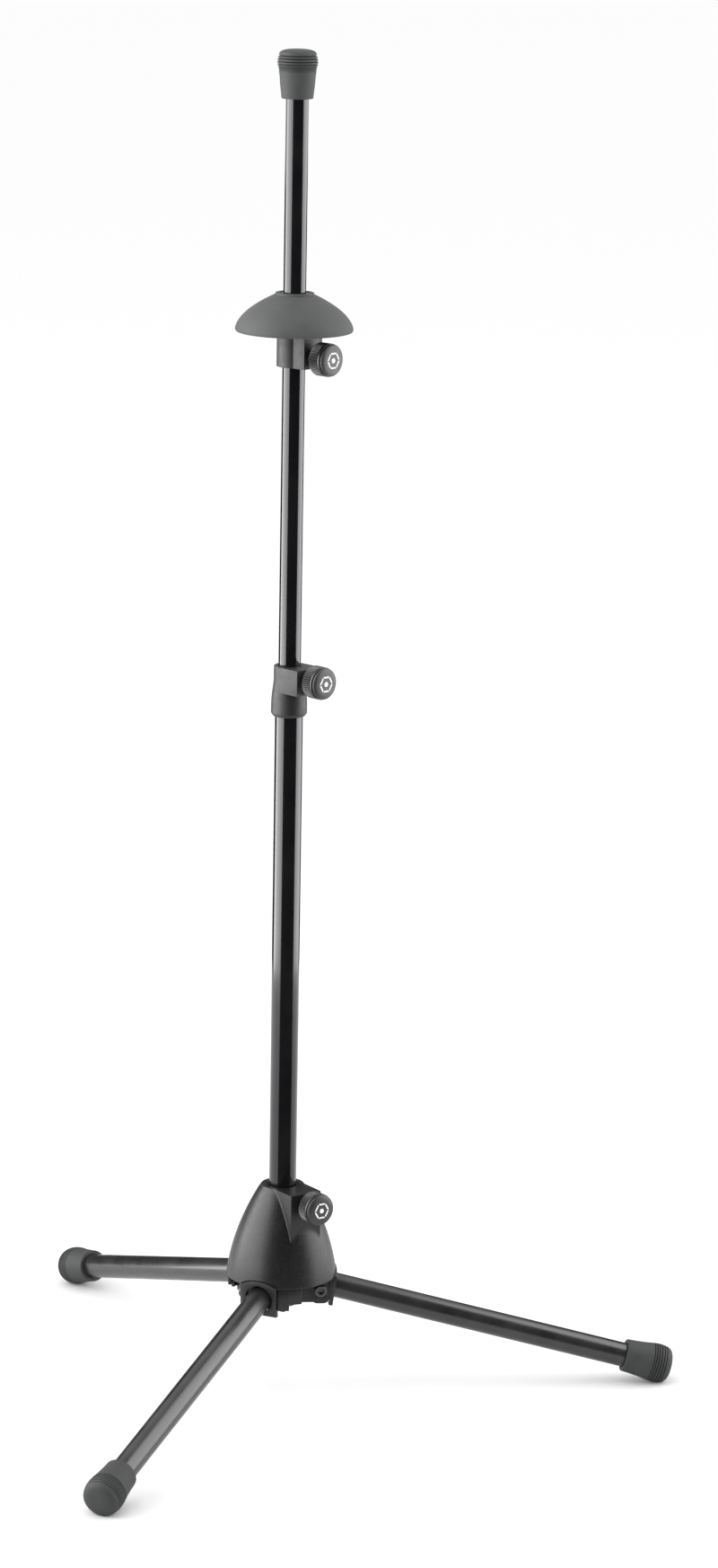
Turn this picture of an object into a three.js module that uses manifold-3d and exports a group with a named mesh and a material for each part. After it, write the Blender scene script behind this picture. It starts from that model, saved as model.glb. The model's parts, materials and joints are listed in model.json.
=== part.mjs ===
// A tall folding tripod stand for a slide brass instrument: a cast hub with three folding legs,
// a telescoping pole with screw clamps, a sliding rubber cone and a rubber-capped post.
// Millimetres, +Z up, floor at z = 0. The origin is the middle of the rectangle round the footprint.
import * as THREE from 'three'
import { mergeVertices } from 'three/addons/utils/BufferGeometryUtils.js'
import Module from 'manifold-3d'

const wasm = await Module()
wasm.setup()

// ---- driving dimensions ----
const GAP = 0.3                  // air between neighbouring pieces
const POLE_Y = -66.7             // pole axis, measured from the middle of the footprint
const LEG_TURNS = { right: -30, back: 90, left: 210 }   // where each leg points, degrees about the pole

const HUB = {
  top: 157.3, rim: 89, topR: 15.9, rimR: 40.4, bulgeR: 36.45,   // dome, and the curve point between
  wall: 3, roof: 140, sleeveR: 13.6, sleeveFoot: 74,
  bossHalf: 13, bossReach: 30, bossFoot: 116, clampZ: 149.8,
  skirtIn: 37, skirtOut: 39.4, panelFoot: 72.3, panelTurn: 34, wingFoot: 77, wingTurn: 48,
  postFoot: 71.5, postEdge: 17, lean: 8,      // posts and leg plates lean in towards their feet
}
const PIVOT = { reach: 27.5, z: 80.2, holeR: 3.3, shaftR: 2.9, headR: 4.4, headH: 2.3, nutH: 1.9 }
const LUG = { inner: 14.3, outer: 17, half: 6, drop: 10, corner: 4, top: 124 }
const WEB = { start: 7.5, outer: 16.2, foot: 71 }   // wall of a leg's channel, from the sleeve to the ear
const SOCKET = { half: 14, eyeR: 8.4, plateIn: 37, plateOut: 40, foot: 67.3, shoulder: 90, peak: 94 }
const LEG = { tilt: 15.09, rise: 1.71, tubeR: 9, wall: 1.5, start: -7, mouthR: 10.8 }
const FOOT = { start: 236.1, length: 35.85, bore: 28.3, endR: 12, fatR: 14.5, fatAt: 25.8 }

const LOWER = { r: 10, wall: 1.3, foot: 68.6, top: 526 }
const STOP = { r: 12.6, foot: 66, top: 73.4 }
const MID = {
  turn: 9.5, foot: 507, top: 543.6, footR: 11.7, bodyR: 12.9, neckR: 11.2, neckFoot: 533, bodyTop: 523,
  lip: 2.1, bossHalf: 12, bossReach: 20, bossFoot: 525.3, clampZ: 535.5,
}
const UPPER = { r: 8, wall: 1.2, foot: 470, top: 961.5 }
const CAP = { foot: 944.9, top: 978.8, footR: 11.1, fatR: 14.35, fatZ: 969.2, flatR: 6 }
const CONE = {
  turn: 13, foot: 758, neckR: 12.1, neckTop: 806.5, bossHalf: 9.3, bossReach: 18.2, bossTop: 781, clampZ: 765.7,
  collarR: 13.7, collarTop: 809.9, dishR: 41.6, bulgeR: 38.65, shoulder: 808.3, rim: 785, rimFoot: 782.8,
  skin: 2.6,
}
const KNOB = { r: 11.75, depth: 10.3, capR: 11.1, capH: 3.1, collarR: 6.6, screwR: 2.6, padR: 2.9 }

const FINISH = {
  gloss: { color: 0x101011, roughness: 0.18, metalness: 0.35 },
  satin: { color: 0x1b1c1d, roughness: 0.38, metalness: 0.3 },
  cast: { color: 0x202223, roughness: 0.62, metalness: 0.1 },
  plastic: { color: 0x232425, roughness: 0.6, metalness: 0 },
  rubber: { color: 0x3a3b3c, roughness: 0.85, metalness: 0 },
  steel: { color: 0x8d9093, roughness: 0.35, metalness: 1 },
  nylon: { color: 0x17181a, roughness: 0.5, metalness: 0 },
}

const ROUND = 32                 // sides of a round piece
const SMALL_ROUND = 16           // sides of a pin or its hole
const WIDE_ROUND = 48            // sides of the hub and the cone

const radians = THREE.MathUtils.degToRad

// ---- solids from three.js geometry ----

// Signed volume of a triangle list: negative when the faces point inwards.
function signedVolume(position, triangles) {
  const corner = [new THREE.Vector3(), new THREE.Vector3(), new THREE.Vector3()]
  let total = 0
  for (let i = 0; i < triangles.length; i += 3) {
    corner.forEach((point, k) => point.fromArray(position, 3 * triangles[i + k]))
    total += corner[0].dot(corner[1].clone().cross(corner[2]))
  }
  return total / 6
}

// A closed geometry as a solid, with its shared points merged and its faces pointing out.
function solid(geometry) {
  const bare = new THREE.BufferGeometry()
  bare.setAttribute('position', geometry.getAttribute('position'))
  bare.setIndex(geometry.getIndex())
  const merged = mergeVertices(bare, 1e-4)
  const position = merged.getAttribute('position').array
  const index = merged.getIndex().array
  const triangles = []
  for (let i = 0; i < index.length; i += 3) {
    const [a, b, c] = [index[i], index[i + 1], index[i + 2]]
    if (a !== b && b !== c && c !== a) triangles.push(a, b, c)
  }
  if (signedVolume(position, triangles) < 0) triangles.reverse()
  return new wasm.Manifold(new wasm.Mesh({
    numProp: 3,
    vertProperties: new Float32Array(position),
    triVerts: new Uint32Array(triangles),
  }))
}

// A profile of [radius, height] pairs turned about the Z axis.
function turned(profile, segments = ROUND) {
  const points = profile.map(([r, z]) => new THREE.Vector2(r, z))
  return solid(new THREE.LatheGeometry(points, segments).rotateX(Math.PI / 2))
}

// A ring of rectangular section about the Z axis.
function ring(inner, outer, foot, top, segments = ROUND) {
  return turned([[inner, foot], [outer, foot], [outer, top], [inner, top], [inner, foot]], segments)
}

function rod(r, foot, top, segments = ROUND) {
  return solid(new THREE.CylinderGeometry(r, r, top - foot, segments)
    .rotateX(Math.PI / 2).translate(0, 0, (foot + top) / 2))
}

// A rod along Y at distance x and height z.
function crossRod(r, from, to, x, z, segments = SMALL_ROUND) {
  return solid(new THREE.CylinderGeometry(r, r, to - from, segments).translate(x, (from + to) / 2, z))
}

function block([x0, x1], [y0, y1], [z0, z1]) {
  return solid(new THREE.BoxGeometry(x1 - x0, y1 - y0, z1 - z0)
    .translate((x0 + x1) / 2, (y0 + y1) / 2, (z0 + z1) / 2))
}

// A flat outline pushed from z = foot to z = top.
function prism(shape, foot, top) {
  return solid(new THREE.ExtrudeGeometry(shape, { depth: top - foot, bevelEnabled: false, curveSegments: 4 })
    .translate(0, 0, foot))
}

// An outline drawn in (across, height), standing upright, pushed outwards from x = near to x = far.
function upright(shape, near, far) {
  return solid(new THREE.ExtrudeGeometry(shape, { depth: far - near, bevelEnabled: false, curveSegments: 4 })
    .rotateX(Math.PI / 2).rotateZ(Math.PI / 2).translate(near, 0, 0))
}

function outline(points) {
  return new THREE.Shape(points.map(([x, y]) => new THREE.Vector2(x, y)))
}

// Points of a curve that bulges from one [radius, height] to another.
function bulge(from, through, to, steps) {
  const [a, b, c] = [from, through, to].map(([r, z]) => new THREE.Vector2(r, z))
  return new THREE.QuadraticBezierCurve(a, b, c).getPoints(steps).map((p) => [p.x, p.y])
}

function spin(body, degrees) {
  return body.rotate([0, 0, degrees])
}

function mesh(name, body, finish) {
  const { vertProperties, triVerts } = body.getMesh()
  const geometry = new THREE.BufferGeometry()
  geometry.setAttribute('position', new THREE.BufferAttribute(new Float32Array(vertProperties), 3))
  geometry.setIndex(new THREE.BufferAttribute(new Uint32Array(triVerts), 1))
  geometry.computeVertexNormals()
  const part = new THREE.Mesh(geometry, new THREE.MeshStandardMaterial(FINISH[finish]))
  part.name = name
  return part
}

// ---- hub ----

// The hub's dome: radius against height, from the rim up to the top ring, set in by a wall.
function domeCurve(inset) {
  const middle = (HUB.top + HUB.rim) / 2
  return bulge([HUB.rimR - inset, HUB.rim], [HUB.bulgeR - inset, middle], [HUB.topR - inset, HUB.top], 8)
}

// The arched outline of a leg's window in the hub, or of the plate that fills it.
function archShape(half, foot, shoulder, peak) {
  const shape = new THREE.Shape()
  shape.moveTo(-half, foot)
  shape.lineTo(half, foot)
  shape.lineTo(half, shoulder)
  shape.quadraticCurveTo(half * 0.5, peak * 1.005, 0, peak)
  shape.quadraticCurveTo(-half * 0.5, peak * 1.005, -half, shoulder)
  shape.lineTo(-half, foot)
  return shape
}

// One ear that holds a pivot screw, at offset y0..y1 from the leg's plane.
function lug(y0, y1) {
  const [near, far] = [PIVOT.reach - LUG.half, PIVOT.reach + LUG.half]
  const foot = PIVOT.z - LUG.drop
  const shape = new THREE.Shape()
  shape.moveTo(near, LUG.top)
  shape.lineTo(near, foot + LUG.corner)
  shape.absarc(near + LUG.corner, foot + LUG.corner, LUG.corner, Math.PI, 1.5 * Math.PI, false)
  shape.absarc(far - LUG.corner, foot + LUG.corner, LUG.corner, 1.5 * Math.PI, 2 * Math.PI, false)
  shape.lineTo(far, LUG.top)
  const flat = new THREE.ExtrudeGeometry(shape, { depth: y1 - y0, bevelEnabled: false, curveSegments: 3 })
  return solid(flat.rotateX(Math.PI / 2).translate(0, y1, 0))
}

// The wall of a leg's channel between the sleeve and the ear on one side (-1 or 1).
function web(side) {
  const across = [side * LUG.inner, side * WEB.outer].sort((a, b) => a - b)
  return block([WEB.start, PIVOT.reach], across, [WEB.foot, LUG.top])
}

// A curved panel under the rim, from the window's edge round to an angle.
function skirtPanel(foot, turn) {
  const edge = SOCKET.half + GAP
  const far = 70
  const wedge = outline([[edge / Math.tan(turn), edge], [far, edge], [far * Math.cos(turn), far * Math.sin(turn)]])
  return ring(HUB.skirtIn, HUB.skirtOut, foot, HUB.rim + 2, WIDE_ROUND)
    .intersect(prism(wedge, foot - 1, HUB.rim + 3))
}

// The skirt beside one leg: a stepped panel on the nut side, a narrow post on the screw side.
function skirt() {
  const { skirtIn, skirtOut, rim, postFoot, postEdge } = HUB
  const inset = (rim - postFoot) * Math.tan(radians(HUB.lean))
  const band = turned([[skirtIn - inset, postFoot], [skirtOut - inset, postFoot], [skirtOut, rim],
    [skirtOut, rim + 2], [skirtIn, rim + 2], [skirtIn, rim], [skirtIn - inset, postFoot]], WIDE_ROUND)
  const post = band.intersect(block([20, 50], [-postEdge, -SOCKET.half - GAP], [postFoot - 1, rim + 3]))
  return skirtPanel(HUB.panelFoot, radians(HUB.panelTurn))
    .add(skirtPanel(HUB.wingFoot, radians(HUB.wingTurn)))
    .add(post)
}

// Leans a leg's plate, or the window that takes it, in towards its foot.
function lean(body) {
  return body.translate([-SOCKET.plateIn, 0, -SOCKET.shoulder]).rotate([0, HUB.lean, 0])
    .translate([SOCKET.plateIn, 0, SOCKET.shoulder])
}

function hubCasting() {
  const shellOut = turned([[0, HUB.rim], ...domeCurve(0).slice(0, -1), [HUB.topR - 0.3, HUB.top - 0.6],
    [HUB.topR - 1, HUB.top], [0, HUB.top]], WIDE_ROUND)
  const inside = domeCurve(HUB.wall).filter(([, z]) => z < HUB.roof)
  const cavity = turned([[0, HUB.rim - 1], [inside[0][0], HUB.rim - 1], ...inside,
    [inside.at(-1)[0] - 1, HUB.roof], [0, HUB.roof]], WIDE_ROUND)
  const boss = block([-HUB.bossHalf, HUB.bossHalf], [-HUB.bossReach, 0], [HUB.bossFoot, HUB.top])
  let body = shellOut.subtract(cavity).add(boss).add(rod(HUB.sleeveR, HUB.sleeveFoot, HUB.roof + 5))
  const arch = archShape(SOCKET.half + GAP, 60, SOCKET.shoulder + GAP, SOCKET.peak + GAP)
  for (const turn of Object.values(LEG_TURNS)) {
    const ears = lug(-LUG.outer, -LUG.inner).add(lug(LUG.inner, LUG.outer)).add(web(-1)).add(web(1))
    const pocket = block([HUB.sleeveR + 1.5, SOCKET.plateIn - 1], [-LUG.inner, LUG.inner], [60, SOCKET.peak - 0.5])
      .add(lean(upright(arch, SOCKET.plateIn - 2, HUB.rimR + 9)))
    const pin = crossRod(PIVOT.holeR, -LUG.outer - 1, LUG.outer + 1, PIVOT.reach, PIVOT.z)
    const trimmed = ears.intersect(shellOut.add(rod(HUB.rimR, 60, HUB.rim + 1)))
    body = body.add(spin(trimmed.add(skirt()), turn))
      .subtract(spin(pocket.add(pin), turn))
  }
  return body.subtract(rod(LOWER.r + GAP, 0, 200))
    .subtract(crossRod(PIVOT.holeR, -HUB.bossReach - 5, 0, 0, HUB.clampZ))
}

// ---- one leg, drawn pointing along +X from the pole axis ----

// Turns a leg's own frame (origin at the pivot, X along the leg) into its resting place.
function restLeg(body) {
  return body.rotate([0, LEG.tilt, 0]).translate([PIVOT.reach, 0, PIVOT.z])
}

// A rod along X in the leg's own frame, centred on the leg tube's axis.
function legRod(r, from, to, segments = 24) {
  return solid(new THREE.CylinderGeometry(r, r, to - from, segments)
    .rotateZ(-Math.PI / 2).translate((from + to) / 2, 0, LEG.rise))
}

function legSocket() {
  const plate = lean(upright(archShape(SOCKET.half, SOCKET.foot, SOCKET.shoulder, SOCKET.peak),
    SOCKET.plateIn, SOCKET.plateOut))
  const eye = crossRod(SOCKET.eyeR, -SOCKET.half, SOCKET.half, PIVOT.reach, PIVOT.z, 24)
  const cheeks = lean(block([PIVOT.reach, SOCKET.plateIn + 0.5], [-SOCKET.half, SOCKET.half],
    [PIVOT.z - SOCKET.eyeR, PIVOT.z + SOCKET.eyeR]))
  const mouth = restLeg(legRod(LEG.mouthR, SOCKET.plateIn - PIVOT.reach - 3, 30))
  return plate.add(eye).add(cheeks)
    .subtract(restLeg(legRod(LEG.tubeR + GAP, -30, 30)))
    .subtract(mouth)
    .subtract(crossRod(PIVOT.holeR, -SOCKET.half - 1, SOCKET.half + 1, PIVOT.reach, PIVOT.z))
}

function legTube() {
  const end = FOOT.start + FOOT.bore - GAP
  const hollow = legRod(LEG.tubeR - LEG.wall, LEG.start - 1, end + 1)
  return restLeg(legRod(LEG.tubeR, LEG.start, end).subtract(hollow)
    .subtract(crossRod(PIVOT.holeR, -20, 20, 0, 0)))
}

// A tapered rubber foot with a round nose, cut flat where it stands on the floor.
function legFoot() {
  const { length, endR, fatR, fatAt, bore } = FOOT
  const nose = bulge([fatR - 0.6, fatAt + 4.5], [fatR - 1.4, length - 0.2], [5.6, length], 5)
  const profile = [[LEG.tubeR + GAP, 0], [endR, 0], [12.5, 7], [13.3, 16], [fatR - 0.3, fatAt - 3],
    [fatR, fatAt], [fatR - 0.15, fatAt + 2.5], ...nose, [0, length], [0, bore], [LEG.tubeR + GAP, bore],
    [LEG.tubeR + GAP, 0]]
  const points = profile.map(([r, x]) => new THREE.Vector2(r, x))
  const cap = solid(new THREE.LatheGeometry(points, ROUND)
    .rotateZ(-Math.PI / 2).translate(FOOT.start, 0, LEG.rise))
  return restLeg(cap).subtract(block([200, 330], [-30, 30], [-20, 0]))
}

function pivotScrew() {
  const [head, seat] = [-LUG.outer - GAP - PIVOT.headH, -LUG.outer - GAP]
  const key = solid(new THREE.CylinderGeometry(2.4, 2.4, 2, 6).translate(PIVOT.reach, head + 0.8, PIVOT.z))
  return crossRod(PIVOT.headR, head, seat, PIVOT.reach, PIVOT.z)
    .add(crossRod(PIVOT.shaftR, seat - 0.5, LUG.outer + GAP + PIVOT.nutH, PIVOT.reach, PIVOT.z))
    .subtract(key)
}

function pivotNut() {
  const seat = LUG.outer + GAP
  const hex = new THREE.CylinderGeometry(PIVOT.headR, PIVOT.headR, PIVOT.nutH, 6)
    .translate(PIVOT.reach, seat + PIVOT.nutH / 2, PIVOT.z)
  return solid(hex).subtract(crossRod(PIVOT.shaftR + GAP, 0, 30, PIVOT.reach, PIVOT.z))
}

// ---- pole ----

function tubeBody({ r, wall, foot, top }) {
  return ring(r - wall, r, foot, top)
}

// A cup on the lower tube's end that meets the underside of the hub's sleeve.
function endStop() {
  const bore = LOWER.r + GAP
  return turned([[0, STOP.foot], [STOP.r - 1, STOP.foot], [STOP.r, STOP.foot + 1], [STOP.r, STOP.top],
    [bore, STOP.top], [bore, LOWER.foot - GAP], [0, LOWER.foot - GAP]])
}

function clampSleeve() {
  const { foot, top, footR, bodyR, neckR, neckFoot, bodyTop } = MID
  const outside = turned([[0, foot], [footR, foot], [bodyR, foot + 2], [bodyR, bodyTop - 5],
    [bodyR - 0.4, bodyTop], [neckR, neckFoot], [neckR, top - 0.6], [neckR - 0.6, top], [0, top]])
  const boss = block([-MID.bossHalf, MID.bossHalf], [-MID.bossReach, 0], [MID.bossFoot, top])
  return outside.add(boss)
    .subtract(rod(LOWER.r + GAP, foot - 1, top - MID.lip))
    .subtract(rod(UPPER.r + 0.4, foot, top + 1))
    .subtract(crossRod(PIVOT.holeR, -MID.bossReach - 1, 0, 0, MID.clampZ))
}

// A split plastic bush of rectangular section that a clamp squeezes onto the tube inside it.
function splitBush(inner, outer, foot, top) {
  return ring(inner, outer, foot, top).subtract(block([-0.8, 0.8], [0, outer + 1], [foot - 1, top + 1]))
}

// ---- upper post ----

function postGuide() {
  const { foot, wall, r } = UPPER
  const neck = r - wall - GAP
  const flange = LOWER.r - LOWER.wall - GAP
  return turned([[0, foot - 6], [flange - 0.8, foot - 6], [flange, foot - 5], [flange, foot - GAP],
    [neck, foot - GAP], [neck, foot + 9], [neck - 1, foot + 10], [0, foot + 10]])
}

// The post's rubber cap: a tapered sleeve that swells to a rounded head with a small flat crown.
function topCap() {
  const { foot, top, footR, fatR, fatZ, flatR } = CAP
  const bore = UPPER.r + GAP
  const seat = UPPER.top + GAP
  const crown = bulge([fatR, fatZ], [fatR - 0.5, top - 1.2], [flatR, top], 4)
  return turned([[bore, foot], [footR, foot], [12.15, foot + 9.5], [12.6, foot + 14.4], [13.2, foot + 19.4],
    [fatR - 0.3, fatZ - 2.2], ...crown, [0, top], [0, seat], [bore, seat], [bore, foot]])
}

// ---- cone ----

function coneCarrier() {
  const boss = block([-CONE.bossHalf, CONE.bossHalf], [-CONE.bossReach, 0], [CONE.foot, CONE.bossTop])
  return rod(CONE.neckR, CONE.foot, CONE.neckTop).add(boss)
    .subtract(rod(LOWER.r, CONE.foot - 1, CONE.neckTop + 1))
    .subtract(crossRod(PIVOT.holeR, -CONE.bossReach - 1, 0, 0, CONE.clampZ))
}

// The rubber cone: a thin wide bell open underneath, with a flat collar round the post.
function coneDish() {
  const { collarR, collarTop, dishR, bulgeR, shoulder, rim, rimFoot, skin, neckR, neckTop } = CONE
  const middle = (shoulder + rim) / 2
  const hole = LOWER.r + GAP
  const outside = bulge([collarR + 0.7, shoulder], [bulgeR, middle], [dishR, rim], 6)
  const inside = bulge([dishR - skin, rim - 0.5], [bulgeR - skin, middle - skin], [neckR + 3, shoulder - skin], 5)
  return turned([[hole, collarTop], [collarR, collarTop], [collarR, shoulder], ...outside,
    [dishR - 0.3, rimFoot + 0.7], [dishR - 1.3, rimFoot], [dishR - 2.2, rimFoot + 0.6], ...inside,
    [neckR + GAP, shoulder - 3.4], [neckR + GAP, neckTop + GAP], [hole, neckTop + GAP], [hole, collarTop]], WIDE_ROUND)
}

// ---- clamp knobs, drawn pointing along -Y ----

// A turned profile of [radius, distance from the pole axis], laid along -Y at height z.
function knobTurned(profile, z, segments) {
  const points = profile.map(([r, reach]) => new THREE.Vector2(r, reach))
  return solid(new THREE.LatheGeometry(points, segments).rotateX(Math.PI).translate(0, 0, z))
}

// One clamp: knob, domed cap, screw and pressure pad. back is the knob's inner face, boss the clamp's end face.
function clampPieces(name, z, boss, back, tubeR) {
  const { r, depth, capR, capH, collarR, screwR, padR } = KNOB
  const front = back + depth
  const hole = screwR + GAP
  const seat = back + 6.5
  const recess = front - 1.2
  const body = knobTurned([[hole, boss + 1], [collarR, boss + 1], [collarR, back], [r - 0.4, back],
    [r, back + 0.5], [r, front - 0.4], [r - 0.4, front], [capR - 1.8, front], [capR - 1.8, recess], [0, recess],
    [0, seat], [hole, seat], [hole, boss + 1]], z, 24)
  const crown = bulge([capR, front + 1.2], [capR - 0.6, front + capH - 0.3], [capR - 4.5, front + capH], 2)
  const cap = knobTurned([[0, recess + GAP], [capR - 1.8 - GAP, recess + GAP], [capR - 1.8 - GAP, front + GAP],
    [capR, front + GAP], ...crown, [0, front + capH]], z, 24)
  const padEnd = tubeR + GAP + 3
  const screw = crossRod(screwR, -(seat - GAP), -(padEnd + GAP), 0, z)
  const pad = crossRod(padR, -padEnd, -(tubeR + GAP + 0.1), 0, z)
  return [
    mesh(`${name}_knob`, body, 'plastic'),
    mesh(`${name}_knob_cap`, cap, 'plastic'),
    mesh(`${name}_clamp_screw`, screw, 'steel'),
    mesh(`${name}_clamp_pad`, pad, 'nylon'),
  ]
}

// ---- assembly: nested groups about the pole axis ----

function legGroup(side) {
  const leg = new THREE.Group()
  leg.add(
    mesh(`leg_${side}_socket`, legSocket(), 'cast'),
    mesh(`leg_${side}_tube`, legTube(), 'satin'),
    mesh(`leg_${side}_foot`, legFoot(), 'rubber'),
    mesh(`leg_${side}_pivot_screw`, pivotScrew(), 'steel'),
    mesh(`leg_${side}_pivot_nut`, pivotNut(), 'steel'),
  )
  leg.rotation.z = radians(LEG_TURNS[side])
  return leg
}

const hub = new THREE.Group()
hub.add(mesh('hub_casting', hubCasting(), 'cast'))
hub.add(...clampPieces('hub', HUB.clampZ, HUB.bossReach, 36.8, LOWER.r))
hub.add(...Object.keys(LEG_TURNS).map(legGroup))

const lower = new THREE.Group()
lower.add(mesh('lower_tube', tubeBody(LOWER), 'gloss'), mesh('lower_end_stop', endStop(), 'plastic'))

const middle = new THREE.Group()
middle.add(
  mesh('mid_clamp_sleeve', clampSleeve(), 'plastic'),
  mesh('mid_bush', splitBush(UPPER.r + 0.35, LOWER.r, LOWER.top + GAP, MID.top - MID.lip - GAP), 'nylon'),
  ...clampPieces('mid', MID.clampZ, MID.bossReach, 24.1, LOWER.r),
)
middle.rotation.z = radians(MID.turn)

const post = new THREE.Group()
post.add(
  mesh('upper_tube', tubeBody(UPPER), 'gloss'),
  mesh('upper_guide', postGuide(), 'nylon'),
  mesh('top_cap', topCap(), 'rubber'),
)

const cone = new THREE.Group()
cone.add(
  mesh('cone_carrier', coneCarrier(), 'plastic'),
  mesh('cone_dish', coneDish(), 'rubber'),
  mesh('cone_liner', splitBush(UPPER.r + 0.35, LOWER.r - GAP, CONE.foot + 0.2, CONE.collarTop - 0.4), 'nylon'),
  ...clampPieces('cone', CONE.clampZ, CONE.bossReach, 24.1, LOWER.r),
)
cone.rotation.z = radians(CONE.turn)

const stand = new THREE.Group()
stand.add(hub, lower, middle, post, cone)
stand.position.y = POLE_Y

export default stand
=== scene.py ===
"""Looks for the folding trombone stand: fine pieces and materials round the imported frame."""

import json
import math

import bmesh
import bpy
from mathutils import Matrix, Vector


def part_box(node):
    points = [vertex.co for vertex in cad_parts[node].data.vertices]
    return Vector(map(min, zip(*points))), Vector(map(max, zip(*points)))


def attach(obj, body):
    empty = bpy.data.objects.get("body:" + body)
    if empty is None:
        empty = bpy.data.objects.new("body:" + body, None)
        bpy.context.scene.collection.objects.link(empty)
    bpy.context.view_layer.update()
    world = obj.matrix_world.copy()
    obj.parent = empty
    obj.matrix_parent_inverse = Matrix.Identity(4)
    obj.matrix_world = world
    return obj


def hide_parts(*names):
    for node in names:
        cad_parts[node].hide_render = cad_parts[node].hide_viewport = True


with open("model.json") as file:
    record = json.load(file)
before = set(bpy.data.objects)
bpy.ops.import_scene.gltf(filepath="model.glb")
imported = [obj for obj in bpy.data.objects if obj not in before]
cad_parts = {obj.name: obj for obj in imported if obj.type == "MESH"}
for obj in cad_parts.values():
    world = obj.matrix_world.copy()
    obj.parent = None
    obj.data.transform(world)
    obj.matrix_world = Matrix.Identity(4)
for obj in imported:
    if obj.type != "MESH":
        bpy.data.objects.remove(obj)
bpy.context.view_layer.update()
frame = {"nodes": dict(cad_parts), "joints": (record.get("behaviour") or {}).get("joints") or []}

# ---- driving dimensions, in millimetres unless said otherwise ----
MM = 0.001
FACETS = 96                       # columns of an ordinary turned piece
FINE_FACETS = 180                 # columns of the cone, the rubber caps and feet, and the clamp bodies
HUB_FACETS = 360                  # columns of the hub
LEG_TURNS = {"right": -30, "back": 90, "left": 210}
LEG_TILT = 15.09                  # how far a leg slopes down, degrees
LEG_RISE = 1.71                   # leg axis above its pivot, square to the leg
LEG_START = -7                    # where a leg's tube starts, along the leg from its pivot
FOOT_START = 236.1                # where a leg's rubber foot starts
LEG_R, LEG_WALL = 9, 1.5          # radius and wall of a leg's tube
PIN_HOLE_R = 3.1                  # holes for a leg's pivot screw
SCREW_R, SCREW_GAP = 2.6, 0.7     # a clamp screw, and the gap round it in its hole
CLAMP_TURNS = {"hub": 0, "mid": 9.5, "cone": 13}
CLAMP_REACH = {"hub": 30, "mid": 20, "cone": 18.2}    # from the pole axis to the face of a clamp's boss
KNOB_R, KNOB_DEPTH, KNOB_RIDGES = 11.75, 10.3, 48


def span(node):
    """Lowest and highest corner of a CAD node, in millimetres."""
    low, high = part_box(node)
    return low / MM, high / MM


TUBE_LOW, TUBE_HIGH = span("lower_tube")
POLE = Vector(((TUBE_LOW.x + TUBE_HIGH.x) / 2, (TUBE_LOW.y + TUBE_HIGH.y) / 2, 0))
LOWER_R = (TUBE_HIGH.x - TUBE_LOW.x) / 2
UPPER_R = (span("upper_tube")[1].x - span("upper_tube")[0].x) / 2
JOINTS = {joint["name"]: joint for joint in frame["joints"]}
PIVOT_AT = Vector(JOINTS["leg_back_fold"]["pos_m"]) / MM - POLE
PIVOT_R = PIVOT_AT.y
PIVOT_Z = PIVOT_AT.z
PLATE_IN, PLATE_OUT = 37, 40      # faces of a leg's plate, from the pole axis
LEAN_TURN, LEAN_Z = 8, 90         # lean of the plates and posts, degrees, and the height it turns about
LEAN = (Matrix.Translation((PLATE_IN, 0, LEAN_Z)) @ Matrix.Rotation(math.radians(LEAN_TURN), 4, "Y")
        @ Matrix.Translation((-PLATE_IN, 0, -LEAN_Z)))


# ---------------------------------------------------------------- camera, light, floor

def make_camera():
    """The view's angle and lens: slightly above, from the left of the hub's knob."""
    away = Vector((-1.9415, -2.7900, 1.2520))
    aim = Vector((0.0413, -0.0297, 0.4575))
    roll = math.radians(0.979)
    pole = POLE * MM
    forward = (aim - away).normalized()
    level = forward.cross(Vector((0, 0, 1))).normalized()
    upward = level.cross(forward)
    right = level * math.cos(roll) + upward * math.sin(roll)
    up = upward * math.cos(roll) - level * math.sin(roll)
    camera = bpy.data.objects.new("camera", bpy.data.cameras.new("camera"))
    camera.matrix_world = Matrix((
        (right.x, up.x, -forward.x, pole.x + away.x),
        (right.y, up.y, -forward.y, pole.y + away.y),
        (right.z, up.z, -forward.z, pole.z + away.z),
        (0, 0, 0, 1)))
    camera.data.sensor_width = 36
    camera.data.lens = 111.9
    camera.data.clip_end = 200
    bpy.context.scene.collection.objects.link(camera)
    bpy.context.scene.camera = camera
    return math.atan2(away.y, away.x)


CAMERA_TURN = make_camera()


def glow(name, strength):
    """A material that shines evenly white."""
    material = bpy.data.materials.new(name)
    material.use_nodes = True
    tree = material.node_tree
    tree.nodes.clear()
    emission = tree.nodes.new("ShaderNodeEmission")
    emission.inputs["Color"].default_value = (1, 1, 1, 1)
    emission.inputs["Strength"].default_value = strength
    output = tree.nodes.new("ShaderNodeOutputMaterial")
    tree.links.new(emission.outputs[0], output.inputs["Surface"])
    return material


def only_in_gloss(panel):
    """A studio panel that shows in reflections and nowhere else."""
    panel.visible_camera = False
    panel.visible_diffuse = False
    panel.visible_transmission = False
    panel.visible_shadow = False
    panel.visible_volume_scatter = False


def studio_point(turn, radius, z):
    """A point round the stand, turn degrees left of the camera's direction."""
    angle = CAMERA_TURN - math.radians(turn)
    return (radius * math.cos(angle), POLE.y * MM + radius * math.sin(angle), z)


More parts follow.
